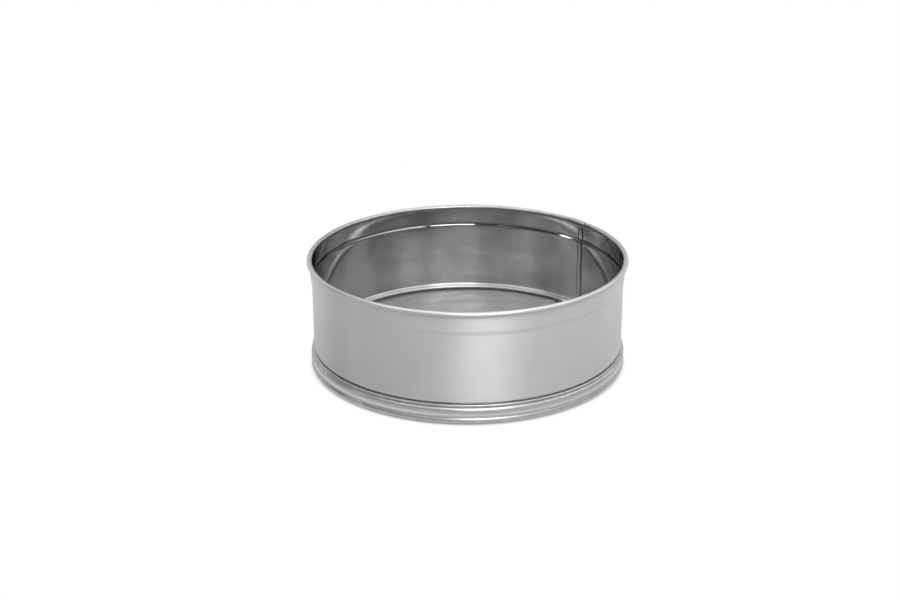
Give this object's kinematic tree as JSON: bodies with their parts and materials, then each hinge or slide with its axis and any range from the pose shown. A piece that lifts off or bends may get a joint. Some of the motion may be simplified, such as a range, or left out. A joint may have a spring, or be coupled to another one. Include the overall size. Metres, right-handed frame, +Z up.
{
  "type": "flour sieve",
  "caption": "Round drum sieve: a lock-seamed steel hoop with a wired rim and a beaded foot ring that clamps a flat woven wire screen, for sifting flour and sugar.",
  "frame": {"origin": "centre of the plane that the foot ring stands on", "axes": "+Z up along the hoop's axis; the lock seam lies 39.5 degrees from +X towards +Y"},
  "size_m": [0.2098, 0.2098, 0.074],
  "materials": {
    "hoop_sheet": "bright-rolled stainless sheet with fine roll lines",
    "foot_sheet": "bright-rolled stainless sheet, spun round the foot",
    "edge_wire": "drawn steel wire",
    "screen_wire": "fine drawn stainless wire, plain woven"
  },
  "bodies": {
    "root": {"side_hoop": "hoop_sheet", "rim_wire": "edge_wire", "foot_ring": "foot_sheet", "foot_wire": "edge_wire", "warp_wire_01": "screen_wire", "warp_wire_02": "screen_wire", "warp_wire_03": "screen_wire", "warp_wire_04": "screen_wire", "warp_wire_05": "screen_wire", "warp_wire_06": "screen_wire", "warp_wire_07": "screen_wire", "warp_wire_08": "screen_wire", "warp_wire_09": "screen_wire", "warp_wire_10": "screen_wire", "warp_wire_11": "screen_wire", "warp_wire_12": "screen_wire", "warp_wire_13": "screen_wire", "warp_wire_14": "screen_wire", "warp_wire_15": "screen_wire", "warp_wire_16": "screen_wire", "warp_wire_17": "screen_wire", "weft_wire_01": "screen_wire", "weft_wire_02": "screen_wire", "weft_wire_03": "screen_wire", "weft_wire_04": "screen_wire", "weft_wire_05": "screen_wire", "weft_wire_06": "screen_wire", "weft_wire_07": "screen_wire", "weft_wire_08": "screen_wire", "weft_wire_09": "screen_wire", "weft_wire_10": "screen_wire", "weft_wire_11": "screen_wire", "weft_wire_12": "screen_wire", "weft_wire_13": "screen_wire", "weft_wire_14": "screen_wire", "weft_wire_15": "screen_wire", "weft_wire_16": "screen_wire", "weft_wire_17": "screen_wire"}
  },
  "joints": []
}
